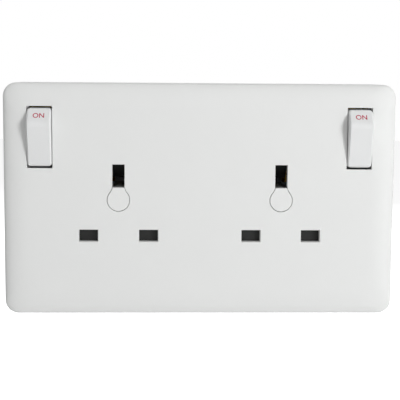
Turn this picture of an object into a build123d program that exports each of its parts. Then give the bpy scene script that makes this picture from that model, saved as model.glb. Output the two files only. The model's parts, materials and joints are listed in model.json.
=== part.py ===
from build123d import *
import os
from math import atan2, cos, hypot, pi, radians, sin, sqrt, tan

# Twin switched wall socket that fixes over a single wall box, in millimetres.
# The wall is the plane Y = 0, the room lies on the -Y side, +X is to the right as seen from
# the room and +Z is up. The origin is midway between the two fixing screws.
# A height below is a distance from the wall towards the room, so height = -Y.

# Front plate
plate_width = 145.0
plate_height = 86.0
plate_depth = 24.0
plate_corner_radius = 5.0
face_corner_radius = 8.0
crown_width = 9.0
crown_drop = 2.7
crown_shares = (0, 0.117, 0.426, 1)
crown_blend_share = 0.45
same_height = 0.001
skirt_wall = 2.2
face_wall = 3.0

# Outlets: the spacing is also that of the box's fixing centres
outlet_spacing = 60.3
pin_pitch = 22.225
earth_rise = 8.9
earth_slot_width = 4.6
earth_slot_height = 8.6
line_slot_width = 7.0
line_slot_height = 4.4
slot_bevel = 0.25
earth_pin_width = 4.0
earth_pin_height = 8.0
earth_pin_length = 22.7
line_pin_width = 6.35

# Fixing screws and the wells they sit in
screw_thread_radius = 1.75
screw_neck_radius = 1.4
screw_head_radius = 3.3
screw_head_height = 2.4
screw_length = 25.0
screw_slot_width = 0.9
well_bore_radius = 3.6
well_wall = 0.95
well_foot_radius = 3.2
well_foot_end = 0.3
well_hole_radius = 2.0
well_seat = 6.0

# Screw caps, a disc with a neck that closes the space under the earth slot
cap_radius = 4.1
cap_thickness = 2.0
cap_gap = 0.2
cap_neck_angle = 46.0
cap_spigot_length = 4.0
cap_spigot_gap = 0.1
cap_spigot_wall = 0.9

# Rockers, drawn switched on
rocker_from_side = 13.5
rocker_from_top = 19.9
rocker_opening_width = 9.4
rocker_opening_height = 22.8
rocker_side_gap = 0.25
rocker_end_gap = 0.65
rocker_ridge_offset = 5.2
rocker_ridge_height = 4.5
rocker_ridge_radius = 3.5
rocker_top_lip = 0.1
rocker_bottom_lip = 0.3
rocker_skirt = 2.0
rocker_wall = 1.5
rocker_web = 1.5
rocker_corner_radius = 1.2
rocker_edge_bevel = 0.5
rocker_face_wall = 1.8
rocker_box_wall = 2.25
rocker_box_end_gap = 0.8
rocker_box_end = 14.0
pivot_depth = 3.8
trunnion_radius = 1.5
trunnion_length = 2.2
bearing_clearance = 0.05
rocker_half_swing = 6.0

# Plunger and its spring, inside the rocker's stem
stem_size = 5.0
stem_rise = 3.0
stem_bore_radius = 1.5
stem_bore_start = 1.3
plunger_radius = 1.4
plunger_nose_radius = 0.6
plunger_length = 4.8
plunger_show = 2.9
plunger_gap = 0.1
plunger_wire_radius = 0.17
plunger_coil_radius = 1.05
plunger_coil_turns = 3

# Switch contacts
fulcrum_below_pivot = 10.2
fulcrum_top_radius = 0.5
fulcrum_foot = 1.4
fulcrum_width = 3.6
blade_lift = 0.6
blade_thickness = 0.8
blade_width = 5.0
blade_front = 8.0
blade_back = 6.0
blade_tilt = 5.0
blade_ear_length = 1.5
blade_ear_thickness = 0.5
tip_radius = 1.5
tip_thickness = 0.6
tip_offset = 6.5
contact_gap = 0.16
contact_platform = 2.2

# Coil springs are drawn as this many straight runs a turn
coil_runs = 8

# Shutters
shutter_thickness = 1.8
shutter_gap = 0.3
shutter_travel = 5.2
shutter_overlap = 0.7
shutter_bar = 3.0
shutter_arm_inner = 5.3
shutter_ramp_gap = 0.1
shutter_ramp_foot = 1.9
shutter_head_depth = 3.5
shutter_guide_wall = 1.0
shutter_spring_room = 9.0
shutter_wire_radius = 0.2
shutter_coil_radius = 1.35
shutter_coil_turns = 5
shutter_peg_width = 1.5
shutter_peg_length = 1.5

# Rear base
base_gap = 0.3
base_back = 0.8
base_wall = 2.2
housing_width = 32.0
housing_height = 56.0
housing_depth = 13.0
housing_wall = 1.6
housing_corner_radius = 3.0
housing_rib = 1.1
pocket_wall = 0.8
pocket_gap = 0.3
post_width = 1.95
shutter_rib_length = 12.0
shutter_rib_z = 2.0

# Brass strips, jaws and terminals
strip_thickness = 0.8
strip_width = 4.0
narrow_strip_width = 2.6
strip_gap = 0.5
neutral_below_jaws = 9.4
bus_turn_gap = 3.3
jaw_grip = 1.9
jaw_foot = 2.4
jaw_mouth = 2.7
jaw_wall = 0.6
jaw_grip_height = 10.0
jaw_mouth_height = 12.0
jaw_width = 5.2
jaw_web_height = 8.0
terminal_width = 7.0
terminal_height = 6.0
terminal_length = 11.0
terminal_spread = 9.2
live_from_end = 5.5
wire_hole_radius = 2.0
wire_hole_depth = 6.2
wire_window_width = 5.4
terminal_screw_radius = 1.7
terminal_thread_gap = 0.05
terminal_screw_length = 5.0
terminal_screw_lift = 2.6
terminal_slot_depth = 0.9
driver_hole_width = 5.0
terminal_boss_width = 6.8

# Small screws and their holes are drawn with this many sides
small_screw_sides = 12

# Assembly screws
pillar_width = 6.2
pillar_from_side = 26.5
pillar_from_top = 6.5
boss_height = 2.2
boss_width = 6.6
assembly_screw_radius = 1.45
assembly_screw_length = 9.0
assembly_pilot_gap = 0.05
assembly_head_radius = 2.4
assembly_head_height = 1.6
assembly_head_gap = 0.2

# Places worked out from the sizes above
sides = {"left": -1, "right": 1}
face = plate_depth
inner_face = face - face_wall
crown_base = face - crown_drop
outlet_x = outlet_spacing / 2
line_z = earth_rise - pin_pitch
line_offset = pin_pitch / 2
slot_bottom = earth_rise - earth_slot_height / 2
base_top = base_back + base_wall
well_radius = well_bore_radius + well_wall
rocker_x = plate_width / 2 - rocker_from_side
rocker_z = plate_height / 2 - rocker_from_top
rocker_width = rocker_opening_width - 2 * rocker_side_gap
pivot = face - pivot_depth
fulcrum_height = pivot - fulcrum_below_pivot
rocker_reach = sqrt((rocker_opening_height / 2 - rocker_end_gap) ** 2 + pivot_depth**2)
rocker_box_half_width = rocker_opening_width / 2 + rocker_box_wall
plunger_reach = pivot - fulcrum_height - blade_lift - blade_thickness - plunger_gap
stem_length = plunger_reach - plunger_show
shutter_top = inner_face - shutter_gap
shutter_back = shutter_top - shutter_thickness
shutter_bar_bottom = earth_rise + earth_pin_height / 2 + shutter_ramp_gap
shutter_bar_top = shutter_bar_bottom + shutter_bar
shutter_tab_bottom = line_z - line_slot_height / 2 - shutter_overlap
shutter_tab_top = line_z + line_slot_height / 2 + shutter_overlap
shutter_tab_reach = line_offset + line_slot_width / 2 + shutter_overlap
shutter_arm_outer = shutter_arm_inner + shutter_bar
shutter_spring_height = shutter_top - shutter_head_depth / 2
spring_stop_z = shutter_bar_top + shutter_spring_room
terminal_back = base_top - terminal_length
wire_hole_height = base_top - wire_hole_depth
housing_floor = housing_wall - housing_depth
jaw_outer = jaw_foot + jaw_wall
live_z = housing_height / 2 - live_from_end
earth_z = earth_rise + earth_pin_height / 2 + pocket_gap + strip_width / 2
neutral_z = line_z - neutral_below_jaws
feed_z = rocker_z - trunnion_radius - strip_gap - narrow_strip_width / 2
return_z = -well_radius - strip_gap - narrow_strip_width / 2
outer_x = rocker_x + rocker_box_half_width + strip_gap + narrow_strip_width / 2
jaw_web_reach = line_pin_width / 2 + pocket_gap + jaw_wall - jaw_width / 2
fixed_tip_z = rocker_z + tip_offset
fixed_tip_top = fulcrum_height - tip_offset * sin(radians(blade_tilt)) - contact_gap
fixed_tip_top += (blade_lift - tip_thickness) * cos(radians(blade_tilt))
platform_top = fixed_tip_top - tip_thickness
pillar_x = plate_width / 2 - pillar_from_side
pillar_z = plate_height / 2 - pillar_from_top
pillar_end = base_top + boss_height
pillar_points = [(x, z) for z in (pillar_z, -pillar_z) for x in (-pillar_x, pillar_x)]
well_points = [(-outlet_x, 0), (outlet_x, 0)]
terminals = {
    "live": (0, live_z),
    "neutral": (0, neutral_z),
    "earth_left": (-terminal_spread, earth_z - terminal_height / 2 + strip_width / 2),
    "earth_right": (terminal_spread, earth_z - terminal_height / 2 + strip_width / 2),
}


def wall_plane(height):
    """The plane parallel to the wall at this height, sketched in x and z."""
    return Plane.XZ.offset(height)


def side_plane(x):
    """The upright plane across the plate at this x, sketched in z and height."""
    return Plane(origin=(x, 0, 0), x_dir=(0, 0, 1), z_dir=(1, 0, 0))


def shelf_plane(z):
    """The level plane at this z, sketched in x and height, with its normal downwards."""
    return Plane(origin=(0, 0, z), x_dir=(1, 0, 0), z_dir=(0, 0, -1))


def stem_plane(x):
    """The plane across a rocker's stem at its pivot, with its normal towards the blade."""
    swing = radians(rocker_half_swing)
    return Plane(origin=(x, -pivot, rocker_z), x_dir=(1, 0, 0), z_dir=(0, cos(swing), sin(swing)))


def blade_plane(x):
    """The blade's own side plane through its fulcrum, sketched along and above the blade."""
    tilt = radians(blade_tilt)
    return Plane(
        origin=(x, -fulcrum_height, rocker_z),
        x_dir=(0, sin(tilt), cos(tilt)),
        z_dir=(1, 0, 0),
    )


def crown_height(inset):
    """The height of the crown, a quarter of an ellipse, this far in from the plate's edge."""
    return crown_base + crown_drop * sqrt(1 - (1 - inset / crown_width) ** 2)


def crown_blend_radius(before, at, after):
    """The radius that rounds the crown's corner at this point within its shorter side."""
    rise_before = atan2(at[1] - before[1], at[0] - before[0])
    rise_after = atan2(after[1] - at[1], after[0] - at[0])
    shorter = min(hypot(at[0] - before[0], at[1] - before[1]), hypot(after[0] - at[0], after[1] - at[1]))
    return crown_blend_share * shorter / tan((rise_before - rise_after) / 2)


def keyhole(radius, neck):
    """A disc with a neck of this half width at the foot of the earth slot."""
    shoulder_x = radius * cos(radians(cap_neck_angle))
    shoulder_z = radius * sin(radians(cap_neck_angle))
    Circle(radius)
    Polygon(
        (-neck, slot_bottom),
        (-shoulder_x, shoulder_z),
        (shoulder_x, shoulder_z),
        (neck, slot_bottom),
        align=None,
    )


def jaw_leaf(direction):
    """One leaf of a pair of jaws: it leans in to its grip and flares at its mouth."""
    inner = [(jaw_foot, base_top), (jaw_grip, jaw_grip_height), (jaw_mouth, jaw_mouth_height)]
    outer = [(out + jaw_wall, height) for out, height in reversed(inner)]
    Polygon(*[(direction * out, height) for out, height in inner + outer], align=None)


# Front plate: a deep moulded cover with a crowned edge, wells, rocker boxes and pillars
with BuildPart() as front_plate:
    with BuildSketch(wall_plane(0)):
        RectangleRounded(plate_width, plate_height, plate_corner_radius)
    extrude(amount=crown_base)
    crown = [(crown_width * share, crown_height(crown_width * share)) for share in crown_shares]
    for inset, height in crown:
        corner_growth = (face_corner_radius - plate_corner_radius) * inset / crown_width
        with BuildSketch(wall_plane(height)):
            RectangleRounded(
                plate_width - 2 * inset,
                plate_height - 2 * inset,
                plate_corner_radius + corner_growth,
            )
    loft(ruled=True)
    corners = [(0, 0)] + crown[:-1]
    for before, at, after in zip(corners, corners[1:], corners[2:]):
        rim = front_plate.edges().filter_by_position(Axis.Y, -at[1] - same_height, -at[1] + same_height)
        fillet(rim, crown_blend_radius(before, at, after))
    with BuildSketch(wall_plane(0)):
        RectangleRounded(
            plate_width - 2 * skirt_wall,
            plate_height - 2 * skirt_wall,
            plate_corner_radius - skirt_wall,
        )
    extrude(amount=inner_face, mode=Mode.SUBTRACT)

    # The wells reach the base, and their feet pass through it almost to the wall
    with BuildSketch(wall_plane(base_top)):
        with Locations(*well_points):
            Circle(well_radius)
    extrude(amount=inner_face - base_top)
    with BuildSketch(wall_plane(well_foot_end)):
        with Locations(*well_points):
            Circle(well_foot_radius)
    extrude(amount=base_top - well_foot_end)
    with BuildSketch(wall_plane(well_seat)):
        with Locations(*well_points):
            Circle(well_bore_radius)
    extrude(amount=face - well_seat, mode=Mode.SUBTRACT)
    with BuildSketch(wall_plane(0)):
        with Locations(*well_points):
            Circle(well_hole_radius)
    extrude(amount=well_seat, mode=Mode.SUBTRACT)
    with BuildSketch(wall_plane(face - cap_thickness)):
        with Locations(*well_points):
            keyhole(cap_radius + cap_gap, earth_slot_width / 2)
    extrude(amount=cap_thickness, mode=Mode.SUBTRACT)

    # Pin slots
    with BuildSketch(wall_plane(inner_face)):
        with Locations((-outlet_x, earth_rise), (outlet_x, earth_rise)):
            Rectangle(earth_slot_width, earth_slot_height)
        for centre in (-outlet_x, outlet_x):
            with Locations((centre - line_offset, line_z), (centre + line_offset, line_z)):
                Rectangle(line_slot_width, line_slot_height)
    extrude(amount=face_wall, mode=Mode.SUBTRACT)
    slot_mouths = front_plate.faces().sort_by(Axis.Y)[0].inner_wires()
    line_slot_mouths = slot_mouths.filter_by(
        lambda wire: abs(wire.bounding_box().size.Z - line_slot_height) < slot_bevel
    )
    chamfer(line_slot_mouths.edges(), slot_bevel)

    # Rocker boxes: the face is thinner over them, and their long walls carry the trunnions
    for side in sides.values():
        with BuildSketch(wall_plane(rocker_box_end)):
            with Locations((side * rocker_x, rocker_z)):
                Rectangle(
                    2 * rocker_box_half_width,
                    rocker_opening_height + 2 * (rocker_box_end_gap + rocker_box_wall),
                )
        extrude(amount=inner_face - rocker_box_end)
        with BuildSketch(wall_plane(rocker_box_end)):
            with Locations((side * rocker_x, rocker_z)):
                Rectangle(
                    rocker_opening_width,
                    rocker_opening_height + 2 * rocker_box_end_gap,
                )
        extrude(amount=face - rocker_face_wall - rocker_box_end, mode=Mode.SUBTRACT)
        with BuildSketch(wall_plane(rocker_box_end)):
            with Locations((side * rocker_x, rocker_z)):
                Rectangle(rocker_opening_width, rocker_opening_height)
        extrude(amount=face - rocker_box_end, mode=Mode.SUBTRACT)
        with BuildSketch(side_plane(side * rocker_x - rocker_box_half_width)):
            with Locations((rocker_z, pivot)):
                Circle(trunnion_radius + bearing_clearance)
            with Locations((rocker_z, (pivot + rocker_box_end) / 2)):
                Rectangle(2 * (trunnion_radius + bearing_clearance), pivot - rocker_box_end)
        extrude(amount=2 * rocker_box_half_width, mode=Mode.SUBTRACT)

    # Guides beside each shutter, the stop its spring pushes on and the rib it comes to rest on
    guide_inner = shutter_arm_outer + shutter_gap
    guide_top = shutter_bar_bottom + shutter_travel
    guide_bottom = shutter_tab_top + shutter_travel + shutter_gap
    guide_foot = shutter_top - shutter_head_depth - shutter_gap
    for side in sides.values():
        with BuildSketch(wall_plane(guide_foot)):
            for hand in sides.values():
                guide_x = side * outlet_x + hand * (guide_inner + shutter_guide_wall / 2)
                with Locations((guide_x, (guide_top + guide_bottom) / 2)):
                    Rectangle(shutter_guide_wall, guide_top - guide_bottom)
            rest_z = shutter_tab_bottom - shutter_gap - shutter_guide_wall / 2
            with Locations(
                (side * outlet_x, spring_stop_z + shutter_guide_wall / 2),
                (side * outlet_x, rest_z),
            ):
                Rectangle(2 * shutter_arm_inner, shutter_guide_wall)
        extrude(amount=inner_face - guide_foot)
        with BuildSketch(shelf_plane(spring_stop_z)):
            with Locations((side * outlet_x, shutter_spring_height)):
                Rectangle(shutter_peg_width, shutter_peg_width)
        extrude(amount=shutter_peg_length)

    # Pillars that take the assembly screws
    with BuildSketch(wall_plane(pillar_end)):
        with Locations(*pillar_points):
            Rectangle(pillar_width, pillar_width)
    extrude(amount=inner_face - pillar_end)
    with BuildSketch(wall_plane(pillar_end)):
        with Locations(*pillar_points):
            RegularPolygon(assembly_screw_radius + assembly_pilot_gap, small_screw_sides)
    extrude(amount=assembly_screw_length, mode=Mode.SUBTRACT)


# Rear base: closes the cover and holds the terminals in a housing that enters the box
base_width = plate_width - 2 * (skirt_wall + base_gap)
base_height = plate_height - 2 * (skirt_wall + base_gap)
terminal_points = list(terminals.values())
with BuildPart() as rear_base:
    with BuildSketch(wall_plane(base_back)):
        RectangleRounded(base_width, base_height, plate_corner_radius - skirt_wall - base_gap)
    extrude(amount=base_wall)
    with BuildSketch(wall_plane(-housing_depth)):
        RectangleRounded(housing_width, housing_height, housing_corner_radius)
    extrude(amount=housing_depth + base_back)
    with BuildSketch(wall_plane(housing_floor)):
        RectangleRounded(
            housing_width - 2 * housing_wall,
            housing_height - 2 * housing_wall,
            housing_corner_radius - housing_wall,
        )
    extrude(amount=base_top - housing_floor, mode=Mode.SUBTRACT)

    # Ribs between the terminals, level with the strips that lie on them
    rib_x = terminal_spread - terminal_width / 2 - base_gap - housing_rib / 2
    with BuildSketch(wall_plane(housing_floor)):
        with Locations((-rib_x, 0), (rib_x, 0)):
            Rectangle(housing_rib, housing_height - housing_wall)
        with Locations(
            (0, (live_z + earth_z) / 2 + (strip_width - terminal_height) / 4),
            (0, earth_z + strip_width / 2 - terminal_height - housing_rib),
            (0, neutral_z + terminal_height / 2 + housing_rib),
        ):
            Rectangle(housing_width - housing_wall, housing_rib)
    extrude(amount=base_top - housing_floor)

    # Hollow bosses that the terminals stand on, with a driver's way in from the back
    with BuildSketch(wall_plane(housing_floor)):
        with Locations(*terminal_points):
            Rectangle(terminal_boss_width, terminal_boss_width)
    extrude(amount=terminal_back - housing_floor)
    with BuildSketch(wall_plane(-housing_depth)):
        with Locations(*terminal_points):
            Rectangle(driver_hole_width, driver_hole_width)
    extrude(amount=terminal_back + housing_depth, mode=Mode.SUBTRACT)

    # Wire windows, out of the top and bottom for live and neutral and the sides for earth
    with BuildSketch(shelf_plane(housing_height / 2)):
        with Locations((0, wire_hole_height)):
            Rectangle(wire_window_width, wire_window_width)
    extrude(amount=housing_wall, mode=Mode.SUBTRACT)
    with BuildSketch(shelf_plane(-housing_height / 2 + housing_wall)):
        with Locations((0, wire_hole_height)):
            Rectangle(wire_window_width, wire_window_width)
    extrude(amount=housing_wall, mode=Mode.SUBTRACT)
    for window_x in (-housing_width / 2, housing_width / 2 - housing_wall):
        with BuildSketch(side_plane(window_x)):
            with Locations((terminals["earth_left"][1], wire_hole_height)):
                Rectangle(wire_window_width, wire_window_width)
        extrude(amount=housing_wall, mode=Mode.SUBTRACT)

    # Holes for the feet of the wells, and pockets for the tips of the earth pins
    with BuildSketch(wall_plane(base_back)):
        with Locations(*well_points):
            Circle(well_foot_radius + base_gap)
    extrude(amount=base_wall, mode=Mode.SUBTRACT)
    pocket_floor = face - earth_pin_length - pocket_gap
    pocket_width = earth_pin_width + 2 * pocket_gap
    pocket_height = earth_pin_height + 2 * pocket_gap
    with BuildSketch(wall_plane(pocket_floor - pocket_wall)):
        with Locations((-outlet_x, earth_rise), (outlet_x, earth_rise)):
            Rectangle(pocket_width + 2 * pocket_wall, pocket_height + 2 * pocket_wall)
    extrude(amount=base_back + pocket_wall - pocket_floor)
    with BuildSketch(wall_plane(pocket_floor)):
        with Locations((-outlet_x, earth_rise), (outlet_x, earth_rise)):
            Rectangle(pocket_width, pocket_height)
    extrude(amount=base_top - pocket_floor, mode=Mode.SUBTRACT)

    # Ribs that keep the shutters up against the face
    rib_x = (shutter_arm_inner + shutter_arm_outer) / 2
    with BuildSketch(wall_plane(base_top)):
        for side in sides.values():
            with Locations(
                (side * outlet_x - rib_x, shutter_rib_z),
                (side * outlet_x + rib_x, shutter_rib_z),
            ):
                Rectangle(shutter_guide_wall, shutter_rib_length)
    extrude(amount=shutter_back - shutter_gap - base_top)

    # Posts that close the bearings under the trunnions
    post_offset = rocker_opening_width / 2 + rocker_box_wall / 2
    with BuildSketch(wall_plane(base_top)):
        for side in sides.values():
            with Locations(
                (side * rocker_x - post_offset, rocker_z),
                (side * rocker_x + post_offset, rocker_z),
            ):
                Rectangle(post_width, 2 * trunnion_radius - 2 * bearing_clearance)
    extrude(amount=pivot - trunnion_radius - bearing_clearance - base_top)

    # Bosses for the assembly screws, whose heads lie below the back
    with BuildSketch(wall_plane(base_top)):
        with Locations(*pillar_points):
            Rectangle(boss_width, boss_width)
    extrude(amount=boss_height)
    with BuildSketch(wall_plane(base_back)):
        with Locations(*pillar_points):
            RegularPolygon(assembly_screw_radius + base_gap, small_screw_sides)
    extrude(amount=base_wall + boss_height, mode=Mode.SUBTRACT)
    with BuildSketch(wall_plane(base_back)):
        with Locations(*pillar_points):
            RegularPolygon(assembly_head_radius + assembly_head_gap, small_screw_sides)
    extrude(amount=base_wall, mode=Mode.SUBTRACT)


def make_cap(side):
    """A screw cap: a keyhole-shaped disc flush with the face, on a spigot in the well."""
    with BuildPart() as cap:
        with BuildSketch(wall_plane(face - cap_thickness)):
            with Locations((side * outlet_x, 0)):
                keyhole(cap_radius, earth_slot_width / 2 - cap_gap)
        extrude(amount=cap_thickness)
        with BuildSketch(wall_plane(face - cap_thickness - cap_spigot_length)):
            with Locations((side * outlet_x, 0)):
                Circle(well_bore_radius - cap_spigot_gap)
                Circle(
                    well_bore_radius - cap_spigot_gap - cap_spigot_wall,
                    mode=Mode.SUBTRACT,
                )
        extrude(amount=cap_spigot_length)
    return cap


def make_fixing_screw(side):
    """A captive box screw: slotted cheese head, thin neck, and thread from the wall back."""
    x = side * outlet_x
    head_top = well_seat + screw_head_height
    slot_floor = well_seat + screw_head_height / 2
    tip = well_seat - screw_length
    with BuildPart() as screw:
        with BuildSketch(shelf_plane(0)):
            with BuildLine():
                Polyline(
                    (x, head_top),
                    (x, tip),
                    (x + screw_thread_radius, tip),
                    (x + screw_thread_radius, 0),
                    (x + screw_neck_radius, 0),
                    (x + screw_neck_radius, well_seat),
                    (x + screw_head_radius, well_seat),
                    (x + screw_head_radius, head_top),
                    close=True,
                )
            make_face()
        revolve(axis=Axis((x, 0, 0), (0, 1, 0)))
        with BuildSketch(wall_plane(slot_floor)):
            with Locations((x, 0)):
                Rectangle(2 * screw_head_radius, screw_slot_width)
        extrude(amount=screw_head_height / 2, mode=Mode.SUBTRACT)
    return screw


def make_rocker(side):
    """A rocker in its on position, hollow under its walls, with trunnions and a stem."""
    x = side * rocker_x
    top_lip = pivot_depth + rocker_top_lip
    bottom_lip = pivot_depth + rocker_bottom_lip
    top_z = rocker_z + sqrt(rocker_reach**2 - top_lip**2)
    bottom_z = rocker_z - sqrt(rocker_reach**2 - bottom_lip**2)
    ridge = (rocker_z + rocker_ridge_offset, face + rocker_ridge_height)
    foot = pivot - rocker_skirt
    with BuildPart() as rocker:
        with BuildSketch(side_plane(x - rocker_width / 2)) as outline:
            with BuildLine():
                FilletPolyline(
                    (top_z, pivot + top_lip),
                    ridge,
                    (bottom_z, pivot + bottom_lip),
                    radius=rocker_ridge_radius,
                )
                Polyline(
                    (bottom_z, pivot + bottom_lip),
                    (bottom_z, foot),
                    (top_z, foot),
                    (top_z, pivot + top_lip),
                )
            make_face()
        extrude(amount=rocker_width)
        fillet(rocker.edges().filter_by(Axis.Y), rocker_corner_radius)
        # The rim runs round the top and leaves out the lines across the ridge
        rim = rocker.edges().filter_by(lambda edge: -edge.center().Y > pivot + rocker_skirt)
        across = rim.filter_by(Axis.X).sort_by(Axis.Z)[1:-1]
        chamfer([edge for edge in rim if edge not in across], rocker_edge_bevel)
        # The hollow under the walls, with a web down the middle
        with BuildSketch(side_plane(x - rocker_width / 2 + rocker_wall)):
            add(outline.sketch_local)
            offset(amount=-rocker_wall)
            with Locations(((top_z + bottom_z) / 2, foot)):
                Rectangle(top_z - bottom_z - 2 * rocker_wall, 3 * rocker_wall)
        extrude(amount=rocker_width - 2 * rocker_wall, mode=Mode.SUBTRACT)
        with BuildSketch(side_plane(x - rocker_web / 2)):
            add(outline.sketch_local)
            offset(amount=-rocker_wall / 2)
        extrude(amount=rocker_web)
        # Trunnions on the side walls, and the stem for the plunger
        for start in (x - rocker_width / 2 - trunnion_length, x + rocker_width / 2 - rocker_wall):
            with BuildSketch(side_plane(start)):
                with Locations((rocker_z, pivot)):
                    Circle(trunnion_radius)
            extrude(amount=trunnion_length + rocker_wall)
        with BuildSketch(stem_plane(x).offset(-stem_rise)):
            Rectangle(stem_size, stem_size)
        extrude(amount=stem_rise + stem_length)
        with BuildSketch(stem_plane(x).offset(stem_bore_start)):
            Circle(stem_bore_radius)
        extrude(amount=stem_length - stem_bore_start, mode=Mode.SUBTRACT)
    return rocker


def make_plunger(side):
    """The blunt-nosed pin that slides in a rocker's stem and presses on the blade."""
    shoulder = plunger_reach - plunger_radius + plunger_nose_radius
    plane = stem_plane(side * rocker_x)
    upright = Plane(origin=plane.origin, x_dir=plane.x_dir, z_dir=-plane.y_dir)
    with BuildPart() as plunger:
        with BuildSketch(upright):
            with BuildLine():
                Polyline(
                    (0, plunger_reach),
                    (0, plunger_reach - plunger_length),
                    (plunger_radius, plunger_reach - plunger_length),
                    (plunger_radius, shoulder),
                    (plunger_nose_radius, plunger_reach),
                    close=True,
                )
            make_face()
        revolve(axis=Axis(plane.origin, plane.z_dir))
    return plunger


def make_coil(centre, direction, length, coil_radius, wire_radius, turns):
    """A compression spring of this overall length that starts at centre."""
    base = Plane(origin=centre, z_dir=direction)
    steps = turns * coil_runs
    points = []
    for step in range(steps + 1):
        turn = 2 * pi * step / coil_runs
        rise = wire_radius + (length - 2 * wire_radius) * step / steps
        points.append(base.from_local_coords((coil_radius * cos(turn), coil_radius * sin(turn), rise)))
    with BuildPart() as coil:
        with BuildLine() as path:
            Polyline(*points)
        wire = path.wires()[0]
        with BuildSketch(Plane(origin=wire @ 0, z_dir=wire % 0)):
            RegularPolygon(wire_radius, 4)
        sweep(path=wire, transition=Transition.RIGHT)
    return coil


def make_shutter(side):
    """A shutter frame: a bar with a sloping head under the earth slot, arms and two tabs."""
    x = side * outlet_x
    head_back = shutter_top - shutter_head_depth
    ramp_drop = shutter_travel
    with BuildPart() as shutter:
        with BuildSketch(wall_plane(shutter_back)):
            with Locations((x, (shutter_bar_top + shutter_tab_bottom) / 2)):
                Rectangle(2 * shutter_arm_outer, shutter_bar_top - shutter_tab_bottom)
            with Locations((x, (shutter_tab_bottom + shutter_tab_top) / 2)):
                Rectangle(2 * shutter_tab_reach, shutter_tab_top - shutter_tab_bottom)
            window_bottom = shutter_tab_bottom + shutter_bar
            with Locations((x, (shutter_bar_bottom + window_bottom) / 2)):
                Rectangle(
                    2 * shutter_arm_inner,
                    shutter_bar_bottom - window_bottom,
                    mode=Mode.SUBTRACT,
                )
        extrude(amount=shutter_thickness)
        with BuildSketch(side_plane(x - earth_slot_width / 2)):
            Polygon(
                (shutter_bar_bottom, shutter_top),
                (shutter_bar_bottom - ramp_drop, shutter_top - ramp_drop),
                (shutter_bar_bottom - ramp_drop + shutter_ramp_foot, shutter_top - ramp_drop),
                (shutter_bar_bottom - shutter_ramp_foot / 2, head_back),
                (shutter_bar_top, head_back),
                (shutter_bar_top, shutter_top),
                align=None,
            )
        extrude(amount=earth_slot_width)
        with BuildSketch(shelf_plane(shutter_bar_top + shutter_peg_length)):
            with Locations((x, shutter_spring_height)):
                Rectangle(shutter_peg_width, shutter_peg_width)
        extrude(amount=shutter_peg_length)
    return shutter


def make_blade(side):
    """The see-saw blade of a switch, with an ear hanging on each side of the fulcrum."""
    x = side * rocker_x
    with BuildPart() as blade:
        with BuildSketch(blade_plane(x - blade_width / 2)):
            with Locations(((blade_front - blade_back) / 2, blade_lift + blade_thickness / 2)):
                Rectangle(blade_front + blade_back, blade_thickness)
        extrude(amount=blade_width)
        for hand in (x - blade_width / 2, x + blade_width / 2 - blade_ear_thickness):
            with BuildSketch(blade_plane(hand)):
                with Locations((0, blade_lift + (blade_thickness - blade_ear_length) / 2)):
                    Rectangle(2 * blade_ear_length, blade_thickness + blade_ear_length)
            extrude(amount=blade_ear_thickness)
    return blade


def make_moving_tip(side):
    """The silver tip under the front of a blade."""
    plane = blade_plane(side * rocker_x)
    under = Plane(
        origin=plane.from_local_coords((tip_offset, blade_lift, 0)),
        x_dir=plane.z_dir,
        z_dir=-plane.y_dir,
    )
    with BuildPart() as tip:
        with BuildSketch(under):
            Circle(tip_radius)
        extrude(amount=tip_thickness)
    return tip


def make_fixed_tip(side):
    """The flat silver tip that a blade closes on."""
    with BuildPart() as tip:
        with BuildSketch(wall_plane(platform_top)):
            with Locations((side * rocker_x, fixed_tip_z)):
                Circle(tip_radius)
        extrude(amount=tip_thickness)
    return tip


def make_live_contact(side):
    """The strip from a switch's fixed contact, down the side, to that outlet's live jaws."""
    x = side * rocker_x
    jaw_x = side * outlet_x + line_offset
    platform_end = fixed_tip_z + contact_platform
    top_z = platform_end + narrow_strip_width / 2
    with BuildPart() as contact:
        with BuildSketch(wall_plane(base_top)):
            with BuildLine():
                FilletPolyline(
                    (x - side * contact_platform, top_z),
                    (side * outer_x, top_z),
                    (side * outer_x, return_z),
                    (jaw_x, return_z),
                    radius=narrow_strip_width,
                )
            trace(line_width=narrow_strip_width)
            with Locations((jaw_x, (return_z + line_z + jaw_foot) / 2)):
                Rectangle(jaw_width, return_z - line_z - jaw_foot)
        extrude(amount=strip_thickness)
        with BuildSketch(side_plane(x - contact_platform)):
            Polygon(
                (platform_end, base_top),
                (platform_end + strip_thickness, base_top),
                (platform_end + strip_thickness, platform_top),
                (fixed_tip_z - contact_platform, platform_top),
                (fixed_tip_z - contact_platform, platform_top - strip_thickness),
                (platform_end, platform_top - strip_thickness),
                align=None,
            )
        extrude(amount=2 * contact_platform)
        with BuildSketch(side_plane(jaw_x - jaw_width / 2)):
            with Locations((line_z, 0)):
                jaw_leaf(1)
                jaw_leaf(-1)
        extrude(amount=jaw_width + jaw_web_reach)
        with BuildSketch(wall_plane(base_top)):
            with Locations((jaw_x + jaw_width / 2 + jaw_web_reach - jaw_wall / 2, line_z)):
                Rectangle(jaw_wall, 2 * jaw_foot + jaw_wall)
        extrude(amount=jaw_web_height - base_top)
    return contact


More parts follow.
